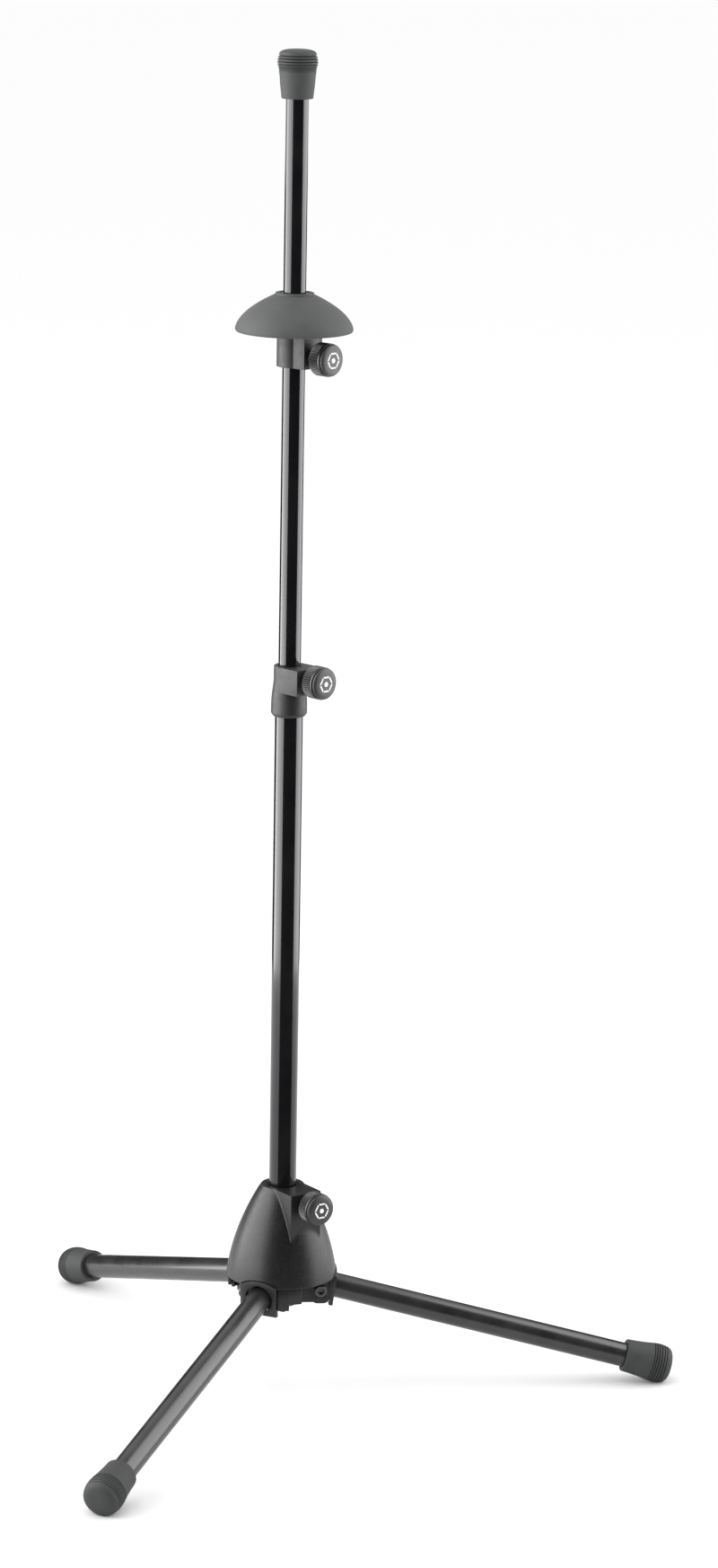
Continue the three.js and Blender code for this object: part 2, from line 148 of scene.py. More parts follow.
def studio_panel(name, start, end, near, far, strength):
    """A curved panel from start to end degrees; near and far are (radius, height) of its long edges."""
    steps = max(2, int(abs(end - start) / 4))
    turns = [start + (end - start) * k / steps for k in range(steps + 1)]
    verts = [studio_point(turn, *edge) for turn in turns for edge in (near, far)]
    faces = [(2 * k, 2 * k + 2, 2 * k + 3, 2 * k + 1) for k in range(steps)]
    mesh = bpy.data.meshes.new(name)
    mesh.from_pydata(verts, [], faces)
    mesh.materials.append(glow(name, strength))
    panel = bpy.data.objects.new(name, mesh)
    bpy.context.scene.collection.objects.link(panel)
    only_in_gloss(panel)


def soft_light(name, turn, distance, height, size, power):
    """An area light that shapes the matt surfaces, aimed at the middle of the stand."""
    data = bpy.data.lights.new(name, "AREA")
    data.shape = "RECTANGLE"
    data.size, data.size_y = size
    data.energy = power
    lamp = bpy.data.objects.new(name, data)
    lamp.location = studio_point(turn, distance, height)
    aim = Vector((0, POLE.y * MM, 0.4)) - lamp.location
    lamp.rotation_euler = aim.to_track_quat("-Z", "Y").to_euler()
    lamp.visible_glossy = False
    bpy.context.scene.collection.objects.link(lamp)


def make_world():
    """Even white light from all round, without a film curve."""
    world = bpy.data.worlds.new("studio")
    world.use_nodes = True
    background = world.node_tree.nodes["Background"]
    background.inputs["Color"].default_value = (1, 1, 1, 1)
    background.inputs["Strength"].default_value = 1.05
    bpy.context.scene.world = world
    bpy.context.scene.view_settings.view_transform = "Standard"


def make_floor():
    """A wide, plain, pale floor, a hair below the feet. Its sizes are in metres."""
    half, drop = 60, 0.0002
    mesh = bpy.data.meshes.new("floor")
    corners = [(-half, -half, 0), (half, -half, 0), (half, half, 0), (-half, half, 0)]
    mesh.from_pydata(corners, [], [(0, 1, 2, 3)])
    material = bpy.data.materials.new("floor")
    material.use_nodes = True
    shader = material.node_tree.nodes["Principled BSDF"]
    shader.inputs["Base Color"].default_value = (0.93, 0.93, 0.93, 1)
    shader.inputs["Roughness"].default_value = 0.9
    mesh.materials.append(material)
    floor = bpy.data.objects.new("floor", mesh)
    floor.location.z = -drop
    bpy.context.scene.collection.objects.link(floor)


def make_lights():
    """Soft lights at both sides and above, and bright panels and dark flags for the tubes to reflect."""
    soft_light("light_left", 75, 2.4, 1.5, (1.6, 2.4), 34)
    soft_light("light_right", -95, 2.4, 1.4, (1.6, 2.4), 16)
    soft_light("light_top", 20, 0.6, 3.0, (2.0, 2.0), 10)
    walls = {
        "panel_left_inner": (42, 64, 4.6),
        "panel_left": (64, 96, 6.0),
        "panel_left_outer": (96, 118, 7.5),
        "panel_right": (-68, -112, 4.6),
        "panel_right_outer": (-112, -132, 3.6),
        "flag_front": (-68, 42, 0.02),
    }
    away = 1.2
    for name, (start, end, strength) in walls.items():
        studio_panel(name, start, end, (away, 0.002), (away, 2.6), strength)
    studio_panel("flag_back", 118, 228, (away, 0.002), (away, 0.8), 0.05)
    studio_panel("flag_floor", -68, 42, (0.35, 0.001), (away, 0.001), 0.02)


make_world()
make_floor()
make_lights()


# ---------------------------------------------------------------- mesh helpers

def round_off(corners, closed=False, steps=4):
    """Corners of (across, along, radius) as plain points, each corner rounded by a short curve."""
    points = []
    count = len(corners)
    for k, (across, along, radius) in enumerate(corners):
        here = Vector((across, along))
        if not radius or (not closed and k in (0, count - 1)):
            points.append(here)
            continue
        before = Vector(corners[k - 1][:2]) - here
        after = Vector(corners[(k + 1) % count][:2]) - here
        reach = min(radius, before.length * 0.49, after.length * 0.49)
        start = here + before.normalized() * reach
        end = here + after.normalized() * reach
        for step in range(steps + 1):
            t = step / steps
            points.append(start * (1 - t) ** 2 + here * 2 * t * (1 - t) + end * t * t)
    return [(p.x, p.y) for p in points]


def bulge(start, through, end, steps):
    """Points of a curve that leaves start, bends towards through and arrives at end."""
    a, b, c = Vector(start), Vector(through), Vector(end)
    points = []
    for step in range(steps + 1):
        t = step / steps
        points.append(tuple(a * (1 - t) ** 2 + b * 2 * t * (1 - t) + c * t * t))
    return points


def to_object(name, bm, turn=0, move=None):
    """A bmesh drawn in millimetres, moved by a matrix and turned about the pole, as an object."""
    if move is not None:
        bm.transform(move)
    bmesh.ops.remove_doubles(bm, verts=bm.verts, dist=1e-4)
    bmesh.ops.recalc_face_normals(bm, faces=bm.faces)
    about_pole = Matrix.Rotation(math.radians(turn), 4, "Z")
    bm.transform(Matrix.Translation(POLE * MM) @ about_pole @ Matrix.Scale(MM, 4))
    mesh = bpy.data.meshes.new(name)
    bm.to_mesh(mesh)
    bm.free()
    piece = bpy.data.objects.new(name, mesh)
    bpy.context.scene.collection.objects.link(piece)
    return piece


def skin(bm, loops, closed=False):
    """Joins equal loops of points into a surface; an open run of loops is capped at both ends."""
    rings = [[bm.verts.new(p) for p in loop] for loop in loops]
    pairs = list(zip(rings, rings[1:]))
    if closed:
        pairs.append((rings[-1], rings[0]))
    count = len(rings[0])
    for near, far in pairs:
        for k in range(count):
            bm.faces.new((near[k], near[(k + 1) % count], far[(k + 1) % count], far[k]))
    if not closed:
        bm.faces.new(rings[0])
        bm.faces.new(list(reversed(rings[-1])))


def circle(r, z, count, wave=None):
    """Points of a level circle; wave(r, turn) gives its radius where it isn't round."""
    points = []
    for k in range(count):
        turn = 2 * math.pi * k / count
        reach = r if wave is None else wave(r, turn)
        points.append((reach * math.cos(turn), reach * math.sin(turn), z))
    return points


SAME_POINT = 2e-7                 # metres within which a boolean's points are one point
TINY = 0.004                      # radius at which an open profile stops short of the axis


def turned(name, profile, count=FACETS, closed=False, turn=0, move=None):
    """A profile of (radius, height) points turned about Z, then moved by a matrix in millimetres."""
    bm = bmesh.new()
    skin(bm, [circle(max(r, TINY), z, count) for r, z in profile], closed)
    return to_object(name, bm, turn, move)


def block(name, low, high, turn=0, move=None):
    """A box between two corners."""
    bm = bmesh.new()
    bmesh.ops.create_cube(bm, size=1)
    middle = (Vector(low) + Vector(high)) / 2
    size = Vector(high) - Vector(low)
    bm.transform(Matrix.Translation(middle) @ Matrix.Diagonal((*size, 1)))
    return to_object(name, bm, turn, move)


def slab(name, points, near, far, plane, turn=0, move=None):
    """A flat outline pushed from near to far: plane 'x' stands (y, z), 'y' stands (x, z), 'z' lies (x, y)."""
    lay = {
        "x": lambda p, d: (d, p[0], p[1]),
        "y": lambda p, d: (p[0], d, p[1]),
        "z": lambda p, d: (p[0], p[1], d),
    }
    bm = bmesh.new()
    skin(bm, [[lay[plane](p, near) for p in points], [lay[plane](p, far) for p in points]])
    return to_object(name, bm, turn, move)


def rod(name, r, start, end, count, turn=0):
    """A round rod between two points."""
    axis = Vector(end) - Vector(start)
    bm = bmesh.new()
    skin(bm, [circle(r, 0, count), circle(r, axis.length, count)])
    bm.transform(Matrix.Translation(start) @ axis.to_track_quat("Z", "Y").to_matrix().to_4x4())
    return to_object(name, bm, turn)


def settle(piece):
    """Applies a piece's modifiers and merges the points that fall on each other."""
    bpy.context.view_layer.update()
    shaped = piece.evaluated_get(bpy.context.evaluated_depsgraph_get())
    mesh = bpy.data.meshes.new_from_object(shaped)
    bm = bmesh.new()
    bm.from_mesh(mesh)
    bmesh.ops.remove_doubles(bm, verts=bm.verts, dist=SAME_POINT)
    bmesh.ops.dissolve_degenerate(bm, dist=SAME_POINT, edges=bm.edges)
    bm.to_mesh(mesh)
    bm.free()
    piece.modifiers.clear()
    piece.data = mesh
    return piece


def boolean(piece, other, operation):
    """Cuts or joins one closed piece with another, which is used up."""
    step = piece.modifiers.new(operation, "BOOLEAN")
    step.operation = operation
    step.solver = "EXACT"
    step.object = other
    settle(piece)
    bpy.data.objects.remove(other)
    return piece


def cut(piece, *others):
    """Takes other pieces out of a piece, one after another."""
    for other in others:
        boolean(piece, other, "DIFFERENCE")
    return piece


def weld(piece, *others):
    """Joins other pieces to a piece, one after another."""
    for other in others:
        boolean(piece, other, "UNION")
    return piece


def soften(piece, width, segments=2, angle=40):
    """Rounds the sharp edges of a piece."""
    step = piece.modifiers.new("soften", "BEVEL")
    step.width = width * MM
    step.segments = segments
    step.limit_method = "ANGLE"
    step.angle_limit = math.radians(angle)
    step.harden_normals = False
    return settle(piece)


def done(piece, body, material, nodes=()):
    """Shades a finished piece, gives it its material and seats it on its body."""
    mesh = piece.data
    mesh.materials.clear()
    mesh.materials.append(material)
    mesh.shade_smooth()
    mesh.set_sharp_from_angle(angle=math.radians(32))
    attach(piece, body)
    if nodes:
        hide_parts(*nodes)
    return piece


# ---------------------------------------------------------------- materials

class Shader:
    """A principled material whose colour, roughness and bump come from nodes."""

    def __init__(self, name, metallic=0.0, coat=0.0, coat_roughness=0.1, level=0.5):
        self.material = bpy.data.materials.new(name)
        self.material.use_nodes = True
        self.tree = self.material.node_tree
        self.shader = self.tree.nodes["Principled BSDF"]
        self.shader.inputs["Metallic"].default_value = metallic
        self.shader.inputs["Coat Weight"].default_value = coat
        self.shader.inputs["Coat Roughness"].default_value = coat_roughness
        self.shader.inputs["Specular IOR Level"].default_value = level
        self.place = self.tree.nodes.new("ShaderNodeTexCoord").outputs["Object"]
        self.height = None

    def link(self, source, target):
        self.tree.links.new(source, target)

    def noise(self, scale, detail=3.0, stretch=(1, 1, 1), roughness=0.5):
        """Noise with a scale in waves per metre, drawn out along an axis by a small stretch."""
        mapping = self.tree.nodes.new("ShaderNodeMapping")
        mapping.inputs["Scale"].default_value = stretch
        self.link(self.place, mapping.inputs["Vector"])
        texture = self.tree.nodes.new("ShaderNodeTexNoise")
        texture.inputs["Scale"].default_value = scale
        texture.inputs["Detail"].default_value = detail
        texture.inputs["Roughness"].default_value = roughness
        self.link(mapping.outputs["Vector"], texture.inputs["Vector"])
        return texture.outputs["Fac"]

    def cells(self, scale):
        """Distance to the middle of small cells, with a scale in cells per metre."""
        texture = self.tree.nodes.new("ShaderNodeTexVoronoi")
        texture.inputs["Scale"].default_value = scale
        self.link(self.place, texture.inputs["Vector"])
        return texture.outputs["Distance"]

    def spread(self, source, low, high, to_low=0.0, to_high=1.0):
        """Maps the part of a pattern between low and high onto another range."""
        node = self.tree.nodes.new("ShaderNodeMapRange")
        node.inputs["From Min"].default_value = low
        node.inputs["From Max"].default_value = high
        node.inputs["To Min"].default_value = to_low
        node.inputs["To Max"].default_value = to_high
        self.link(source, node.inputs["Value"])
        return node.outputs["Result"]

    def blend(self, amount, dark, light):
        """Mixes two colours, each a tuple or another pattern's colour."""
        node = self.tree.nodes.new("ShaderNodeMix")
        node.data_type = "RGBA"
        self.link(amount, node.inputs["Factor"])
        for socket, value in (("A", dark), ("B", light)):
            target = [s for s in node.inputs if s.name == socket and s.type == "RGBA"][0]
            if isinstance(value, tuple):
                target.default_value = (*value, 1)
            else:
                self.link(value, target)
        return [s for s in node.outputs if s.type == "RGBA"][0]

    def colour(self, source):
        self.link(source, self.shader.inputs["Base Color"])

    def rough(self, source):
        self.link(source, self.shader.inputs["Roughness"])

    def bump(self, source, depth):
        """Adds a pattern to the relief; depth is in millimetres."""
        node = self.tree.nodes.new("ShaderNodeBump")
        node.inputs["Strength"].default_value = 1
        node.inputs["Distance"].default_value = depth * MM
        self.link(source, node.inputs["Height"])
        if self.height is not None:
            self.link(self.height, node.inputs["Normal"])
        self.height = node.outputs["Normal"]
        self.link(self.height, self.shader.inputs["Normal"])


def enamel(name, dark, light, rough_low, rough_high, ripple, coat):
    """Coated steel tube: faint ripple in the coat, fine drawn streaks and dusty patches."""
    s = Shader(name, coat=coat, coat_roughness=0.06)
    patches = s.noise(45, 4)
    streaks = s.noise(900, 3, stretch=(1, 1, 0.02))
    s.colour(s.blend(s.spread(patches, 0.35, 0.7), dark, light))
    s.rough(s.spread(patches, 0.3, 0.7, rough_low, rough_high))
    s.bump(s.noise(380, 2), ripple)
    s.bump(streaks, ripple * 0.25)
    return s.material


def powder_coat(name, dark, light, grain):
    """Fine-textured powder coat on a casting, with pale specks scattered at random as painted glints of its
    grain.
    """
    s = Shader(name, level=0.4)
    # pale specks painted into the colour: painted glints of light on the grain, not a colour the coat has
    glint_specks = s.spread(s.cells(900), 0.05, 0.2, 1.0, 0.0)
    patches = s.spread(s.noise(60, 4), 0.35, 0.7)
    worn = s.blend(patches, dark, light)
    glint_colour = tuple(min(1, 13 * c) for c in light)
    s.colour(s.blend(s.spread(glint_specks, 0.2, 1.0, 0.0, 0.8), worn, glint_colour))
    s.rough(s.spread(s.noise(700, 3), 0.3, 0.7, 0.33, 0.45))
    s.bump(s.noise(1100, 4, roughness=0.6), grain)
    s.bump(s.cells(800), grain * 0.5)
    return s.material


def moulded(name, dark, light, grain, rough_low, rough_high):
    """Moulded plastic with a fine eroded texture."""
    s = Shader(name)
    patches = s.spread(s.noise(90, 4), 0.35, 0.7)
    s.colour(s.blend(patches, dark, light))
    s.rough(s.spread(s.noise(260, 3), 0.3, 0.7, rough_low, rough_high))
    s.bump(s.noise(2200, 3), grain)
    return s.material


def rubber(name, dark, light, grain):
    """Matt rubber: cloudy bloom, dust and a soft fine grain."""
    s = Shader(name, level=0.35)
    bloom = s.spread(s.noise(70, 5, roughness=0.6), 0.3, 0.75)
    dust = s.spread(s.noise(1600, 2), 0.62, 0.72, 0.0, 0.35)
    cloudy = s.blend(bloom, dark, light)
    s.colour(s.blend(dust, cloudy, tuple(1.5 * c for c in light)))
    s.rough(s.spread(bloom, 0, 1, 0.62, 0.8))
    s.bump(s.noise(1400, 3), grain)
    return s.material


def plated_steel(name, dark, light):
    """Dark zinc plating with fine turning marks."""
    s = Shader(name, metallic=1.0)
    patches = s.spread(s.noise(500, 4), 0.3, 0.7)
    s.colour(s.blend(patches, dark, light))
    s.rough(s.spread(s.noise(900, 3), 0.3, 0.7, 0.28, 0.48))
    s.bump(s.noise(3000, 2), 0.01)
    return s.material


def printed_ink(name):
    """White pad-printed ink, slightly uneven."""
    s = Shader(name)
    s.colour(s.blend(s.spread(s.noise(1500, 3), 0.35, 0.6), (0.72, 0.72, 0.71), (0.9, 0.9, 0.89)))
    s.rough(s.spread(s.noise(900, 2), 0.3, 0.7, 0.35, 0.5))
    return s.material


TUBE = enamel("gloss_enamel", (0.005, 0.005, 0.006), (0.008, 0.008, 0.009), 0.10, 0.16, 0.004, 0.3)
LEG = enamel("satin_enamel", (0.014, 0.014, 0.014), (0.024, 0.024, 0.024), 0.24, 0.34, 0.01, 0.15)
CAST = powder_coat("hub_powder_coat", (0.006, 0.0064, 0.0064), (0.010, 0.0105, 0.0105), 0.05)
SOCKET = powder_coat("socket_powder_coat", (0.012, 0.0125, 0.0125), (0.018, 0.0185, 0.0185), 0.04)
CLAMP = moulded("clamp_plastic", (0.012, 0.0125, 0.0125), (0.018, 0.0185, 0.0185), 0.03, 0.45, 0.58)
KNOB = moulded("knob_plastic", (0.010, 0.010, 0.0105), (0.016, 0.016, 0.0165), 0.02, 0.4, 0.52)
KNOB_CAP = moulded("knob_cap_plastic", (0.022, 0.023, 0.024), (0.032, 0.033, 0.034), 0.025, 0.4, 0.5)
FOOT = rubber("foot_rubber", (0.030, 0.031, 0.032), (0.045, 0.046, 0.047), 0.03)
CAP = rubber("cap_rubber", (0.036, 0.037, 0.038), (0.052, 0.053, 0.054), 0.03)
CONE = rubber("cone_rubber", (0.052, 0.053, 0.054), (0.074, 0.075, 0.076), 0.015)
STEEL = plated_steel("plated_steel", (0.06, 0.06, 0.062), (0.12, 0.12, 0.124))
NYLON = moulded("bush_nylon", (0.010, 0.010, 0.011), (0.016, 0.016, 0.017), 0.01, 0.35, 0.45)
INK = printed_ink("white_ink")


# ---------------------------------------------------------------- tubes and caps

def pole_tube(node, body, r, wall):
    """One of the two telescoping tubes, with its ends broken."""
    low, high = span(node)
    edge = 0.35
    corners = [(r, low.z), (r, high.z), (r - wall, high.z), (r - wall, low.z)]
    profile = round_off([(across, along, edge) for across, along in corners], closed=True)
    done(turned(f"{node}_skin", profile, closed=True), body, TUBE, [node])


pole_tube("lower_tube", "pole", LOWER_R, 1.3)
pole_tube("upper_tube", "post", UPPER_R, 1.2)


def groove(r, z, depth, half):
    """A round-bottomed groove in a profile that runs downwards at radius r."""
    return [(r, z + half), (r - depth * 0.75, z + half * 0.5), (r - depth, z),
            (r - depth * 0.75, z - half * 0.5), (r, z - half)]


def top_cap():
    """The post's rubber cap: a domed head with ribs under it and a tapered sleeve."""
    low, high = span("top_cap")
    foot, top = low.z, high.z
    fat = (high.x - low.x) / 2
    bore = UPPER_R + 0.15
    head = bulge((5.2, top), (11.6, top - 0.4), (12.75, top - 2.4), 6)
    ribs = [(13.3, top - 4.3, 1.2), (13.9, top - 6.2, 1.3), (14.2, top - 8.2, 1.2),
            (14.1, top - 10.2, 1.0), (13.7, top - 12.0, 0.7), (13.4, top - 13.3, 0.5),
            (13.1, top - 14.6, 0.4)]
    side = [point for r, z, depth in ribs for point in groove(min(r, fat), z, depth, 0.5)]
    sleeve = [(12.75, foot + 16.9), (12.5, foot + 14.4), (12.15, foot + 9.5), (11.55, foot + 4.5),
              (11.2, foot + 1.2)]
    rim = round_off([(11.2, foot + 1.2, 0), (11.1, foot, 0.5), (bore, foot, 0.3), (bore, foot + 1, 0)])
    seat = span("upper_tube")[1].z + 0.3
    profile = [(0, top)] + head + side + sleeve + rim + [(bore, seat), (0, seat)]
    done(turned("top_cap_rubber", profile, FINE_FACETS), "post", CAP, ["top_cap"])


top_cap()


# ---------------------------------------------------------------- cone

def cone_dish():
    """The rubber cone with its flat collar, a rounded rim and a hollow underside."""
    low, high = span("cone_dish")
    foot, top = low.z, high.z
    rim_r = (high.x - low.x) / 2 * 1.001
    shoulder = top - 1.6
    hole = 10.2
    collar = round_off([(hole, top, 0), (hole + 0.2, top, 0.3), (13.7, top, 0.6), (13.7, shoulder + 0.1, 0.2),
                        (14.6, shoulder, 0)])
    outside = bulge((14.6, shoulder), (38.65, (shoulder + foot + 2.3) / 2), (rim_r - 0.1, foot + 2.3), 40)
    rim = round_off([(rim_r - 0.1, foot + 2.3, 0), (rim_r, foot + 1.3, 0.5), (rim_r - 0.5, foot, 0.7),
                     (rim_r - 1.5, foot, 0.6), (rim_r - 2.1, foot + 1.9, 0)])
    inside = bulge((rim_r - 2.1, foot + 2.0), (36, (shoulder + foot) / 2 + 0.2), (15.1, shoulder - 2.6), 24)
    hub = [(12.5, shoulder - 3.2), (12.5, shoulder - 1.5), (hole, shoulder - 1.5)]
    profile = collar + outside[1:-1] + rim + inside[1:] + hub
    dish = turned("cone_rubber_dish", profile, FINE_FACETS, closed=True)
    done(dish, "cone", CONE, ["cone_dish"])


cone_dish()


# ---------------------------------------------------------------- clamp bodies

def smooth_max(a, b, width):
    """The larger of two lengths, with a soft step where they meet."""
    if abs(a - b) >= width:
        return max(a, b)
    share = (a - b) / width
    return (a + b) / 2 + width * (share * share + 1) / 4


def boss_reach(turn, half, reach):
    """Radius of a square boss along -Y, in the direction turn."""
    across, along = abs(math.cos(turn)), -math.sin(turn)
    if along <= 0:
        return 0
    sides = half / across if across > 1e-6 else 1e6
    return min(sides, reach / along)


def boss_columns(half, reach):
    """Directions of the hub's columns, with one on each corner of the boss."""
    turns = [2 * math.pi * k / HUB_FACETS for k in range(HUB_FACETS)]
    corner = math.atan2(reach, half)
    for exact in (2 * math.pi - corner, math.pi + corner):
        nearest = min(range(HUB_FACETS), key=lambda k: abs(turns[k] - exact))
        turns[nearest] = exact
    return turns


def bossed(name, outside, inside, bore, half, reach):
    """A turned body with a square boss towards -Y.

    outside runs down from the top edge to the foot, inside runs back up to the foot of the bore. The boss
    starts at the crest of outside, so the lip within it stays round.
    """
    turns = boss_columns(half, reach)
    crest = max(range(len(outside)), key=lambda k: outside[k][1])
    loops = []
    for k, (r, z) in enumerate(outside):
        loop = []
        for t in turns:
            boss = boss_reach(t, half, reach) if k >= crest else 0
            far = smooth_max(r, boss, 0.9) if boss else r
            loop.append((far * math.cos(t), far * math.sin(t), z))
        loops.append(loop)
    for r, z in inside:
        loops.append([(r * math.cos(t), r * math.sin(t), z) for t in turns])
    loops.append([(bore * math.cos(t), bore * math.sin(t), outside[0][1]) for t in turns])
    bm = bmesh.new()
    skin(bm, loops, closed=True)
    return to_object(name, bm)


CORE_R = 5                        # a clamp body starts out solid, capped from this radius inwards


def screw_hole(name, z, reach, turn):
    """The hole that a clamp's screw goes through."""
    return rod(name, SCREW_R + SCREW_GAP, (0, -reach, z), (0, -5, z), 40, turn)


def mid_sleeve():
    """The clamp sleeve over the lower tube's top, with its square boss."""
    low, high = span("mid_clamp_sleeve")
    foot, top = low.z, high.z
    bore, lip = LOWER_R + 0.15, 2.1
    turn = CLAMP_TURNS["mid"]
    body = round_off([(CORE_R, top, 0), (11.2, top, 0.7), (11.2, top - 11, 3), (12.5, foot + 15.5, 4),
                      (12.9, foot + 10, 3), (12.9, foot + 2.2, 0.6), (11.4, foot, 0.4), (CORE_R, foot, 0)])
    sleeve = turned("mid_sleeve_body", body, FINE_FACETS, turn=turn)
    boss = block("mid_boss", (-12, -CLAMP_REACH["mid"], top - 18.3), (12, 0, top), turn)
    core = rod("mid_core", UPPER_R + 0.25, (0, 0, foot - 1), (0, 0, top + 1), 96)
    socket = rod("mid_socket", bore, (0, 0, foot - 1), (0, 0, top - lip), 96)
    weld(sleeve, boss)
    cut(sleeve, core, socket, screw_hole("mid_hole", top - 8.1, 21, turn))
    soften(sleeve, 0.55, 3, 50)
    done(sleeve, "pole", CLAMP, ["mid_clamp_sleeve"])


def cone_carrier():
    """The clamp block under the cone."""
    low, high = span("cone_carrier")
    foot, top = low.z, high.z
    turn = CLAMP_TURNS["cone"]
    bore = 10.0
    body = round_off([(CORE_R, foot, 0), (12.1, foot, 0.5), (12.1, top, 0.5), (CORE_R, top, 0)])
    carrier = turned("cone_carrier_body", body, FINE_FACETS, turn=turn)
    boss = block("cone_boss", (-9.3, -CLAMP_REACH["cone"], foot), (9.3, 0, foot + 23), turn)
    core = rod("cone_core", bore, (0, 0, foot - 1), (0, 0, top + 1), 96)
    weld(carrier, boss)
    cut(carrier, core, screw_hole("cone_hole", foot + 7.7, 19, turn))
    soften(carrier, 0.5, 3, 50)
    done(carrier, "cone", CLAMP, ["cone_carrier"])


mid_sleeve()
cone_carrier()


# ---------------------------------------------------------------- clamp knobs

def knob_height(name):
    """Height of a clamp's axis, from its pressure pad."""
    low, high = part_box(f"{name}_clamp_pad")
    return (low.z + high.z) / 2 / MM


def knob_back(name):
    """Distance of a knob's inner face from the pole axis, from its turning point."""
    at = Vector(JOINTS[f"{name}_knob_turn"]["pos_m"]) / MM - POLE
    return math.hypot(at.x, at.y) - 5.2


def along_knob(z):
    """From a piece drawn along +Z to one along -Y at height z."""
    return Matrix.Translation((0, 0, z)) @ Matrix.Rotation(math.radians(90), 4, "X")


def ridge_wave(depth):
    """The knurl, as narrow ridges with grooves of this depth between them."""
    def wave(r, turn):
        ridge = 0.5 + 0.5 * math.cos(KNOB_RIDGES * turn)
        return r - depth * (1 - ridge ** 0.6)
    return wave


def knob_body(name, back, boss, z):
    """The knurled barrel with a plain band in front, a neck behind and a seat for the cap."""
    r, front = KNOB_R, back + KNOB_DEPTH
    count = KNOB_RIDGES * 8
    neck = round_off([(2.9, boss + 1.0, 0), (6.6, boss + 1.0, 0.5), (6.6, back, 0.8), (r - 1.5, back, 0.6)])
    loops = [circle(radius, reach, count) for radius, reach in neck]
    knurl = [(r - 0.5, back + 0.15, 0.3), (r - 0.1, back + 0.5, 0.8), (r, back + 0.9, 1.0),
             (r, back + 7.4, 1.0), (r - 0.05, back + 7.7, 0.8)]
    loops += [circle(radius, reach, count, ridge_wave(wave)) for radius, reach, wave in knurl]
    band = round_off([(r - 1.1, back + 7.9, 0), (r - 1.1, back + 8.3, 0), (r, back + 8.4, 0.2),
                      (r, front - 0.3, 0.3), (r - 0.5, front, 0.3), (9.0, front, 0.2),
                      (9.0, front - 1.2, 0), (TINY, front - 1.2, 0)])
    loops += [circle(radius, reach, count) for radius, reach in band]
    loops += [circle(TINY, back + 6.5, count), circle(2.9, back + 6.5, count)]
    bm = bmesh.new()
    skin(bm, loops, closed=True)
    bm.transform(along_knob(z))
    piece = to_object(f"{name}_knob_body", bm, CLAMP_TURNS[name])
    done(piece, f"{name}_knob", KNOB, [f"{name}_knob"])


def knob_cap(name, back, z):
    """The domed cap that closes the knob's front."""
    front = back + KNOB_DEPTH
    top = front + 3.1
    crown = bulge((11.25, front + 1.3), (11.0, top - 0.5), (7.4, top), 8)
    profile = ([(0, front - 0.9), (8.7, front - 0.9), (8.7, front + 0.45)]
               + round_off([(8.7, front + 0.45, 0), (11.15, front + 0.45, 0.35), (11.25, front + 1.3, 0)])
               + crown[1:] + [(3.5, top), (0, top)])
    piece = turned(f"{name}_knob_front", profile, 128, turn=CLAMP_TURNS[name], move=along_knob(z))
    done(piece, f"{name}_knob", KNOB_CAP, [f"{name}_knob_cap"])


def knob_mark(name, back, z):
    """A plain printed hexagon with a dot in it."""
    face = back + 13.4
    bm = bmesh.new()
    for k in range(6):
        ends = [math.radians(60 * k + 4), math.radians(60 * k + 56)]
        rings = []
        for depth in (-0.03, 0.04):
            points = [(r * math.cos(a), r * math.sin(a), face + depth)
                      for r, a in ((5.0, ends[0]), (6.2, ends[0]), (6.2, ends[1]), (5.0, ends[1]))]
            rings.append(points)
        skin(bm, rings)
    skin(bm, [circle(1.9, face - 0.03, 6), circle(1.9, face + 0.04, 6)])
    bm.transform(along_knob(z))
    piece = to_object(f"{name}_knob_mark", bm, CLAMP_TURNS[name])
    done(piece, f"{name}_knob", INK)


for clamp, reach in CLAMP_REACH.items():
    axis_z, inner = knob_height(clamp), knob_back(clamp)
    knob_body(clamp, inner, reach, axis_z)
    knob_cap(clamp, inner, axis_z)
    knob_mark(clamp, inner, axis_z)


# ---------------------------------------------------------------- hub

HUB_TOP = span("hub_casting")[1].z
HUB_RIM = 89
RIM_R, TOP_R, BULGE_R = 40.4, 15.9, 36.45
SLEEVE_R, SLEEVE_FOOT, SLEEVE_TOP = 13.6, 74, 141    # the sleeve inside the dome that the pole slides in
BOSS_HALF = 13
EAR_IN, EAR_OUT = 14.3, 17        # faces of the ears that hold a leg's pivot screw, from the leg's plane
SKIRT_IN, SKIRT_OUT = 37.0, 39.4  # faces of the skirt under the rim, from the pole axis


def arch(half, foot, shoulder, peak, steps=14):
    """Outline of a leg's window or of its plate, as (across, height) points."""
    right = bulge((half, shoulder), (half * 0.52, peak * 1.004), (0, peak), steps)
    left = [(-x, z) for x, z in reversed(right[:-1])]
    return [(-half, foot), (half, foot)] + right + left


